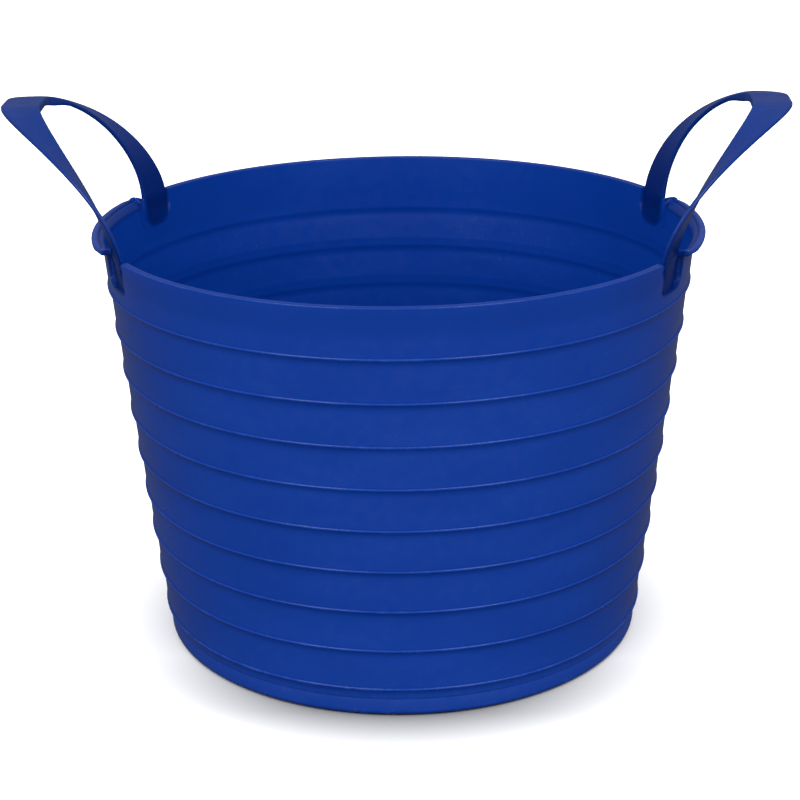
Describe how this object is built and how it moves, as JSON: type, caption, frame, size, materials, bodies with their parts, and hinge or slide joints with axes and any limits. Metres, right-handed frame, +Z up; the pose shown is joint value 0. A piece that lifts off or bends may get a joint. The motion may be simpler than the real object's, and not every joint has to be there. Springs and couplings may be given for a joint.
{
  "type": "feed bucket",
  "caption": "Flexible round feed bucket with stepped tapering walls, a rolled rim and a bendable strap handle on each side.",
  "frame": {"origin": "centre of the base on the surface that the tub stands on, below the tub's axis", "axes": "+Z up along the tub's axis, +X through the right handle, -Y towards the front"},
  "size_m": [0.503, 0.392, 0.361],
  "materials": {
    "tub_plastic": "satin blue polyethylene",
    "handle_plastic": "satin blue polyethylene"
  },
  "bodies": {
    "tub": {"floor_disc": "tub_plastic", "foot_ring": "tub_plastic", "base_band": "tub_plastic", "wall_band_01": "tub_plastic", "wall_band_02": "tub_plastic", "wall_band_03": "tub_plastic", "wall_band_04": "tub_plastic", "wall_band_05": "tub_plastic", "wall_band_06": "tub_plastic", "wall_band_07": "tub_plastic", "wall_band_08": "tub_plastic", "top_collar": "tub_plastic", "rim_bead_front": "tub_plastic", "rim_bead_back": "tub_plastic", "rim_lip_left": "tub_plastic", "rim_lip_right": "tub_plastic", "handle_foot_left_front": "tub_plastic", "handle_foot_left_back": "tub_plastic", "handle_foot_right_front": "tub_plastic", "handle_foot_right_back": "tub_plastic"},
    "handle_left": {"handle_branch_left_front": "handle_plastic", "handle_branch_left_back": "handle_plastic", "handle_grip_left": "handle_plastic"},
    "handle_right": {"handle_branch_right_front": "handle_plastic", "handle_branch_right_back": "handle_plastic", "handle_grip_right": "handle_plastic"}
  },
  "joints": [
    {"name": "handle_left_flex", "type": "hinge", "parent": "tub", "child": "handle_left", "pos_m": [-0.1719, 0, 0.286], "axis": [0, 1, 0], "range_deg": [-45, 75], "stiffness_Nm_per_rad": 1},
    {"name": "handle_right_flex", "type": "hinge", "parent": "tub", "child": "handle_right", "pos_m": [0.1719, 0, 0.286], "axis": [0, -1, 0], "range_deg": [-45, 75], "stiffness_Nm_per_rad": 1}
  ]
}
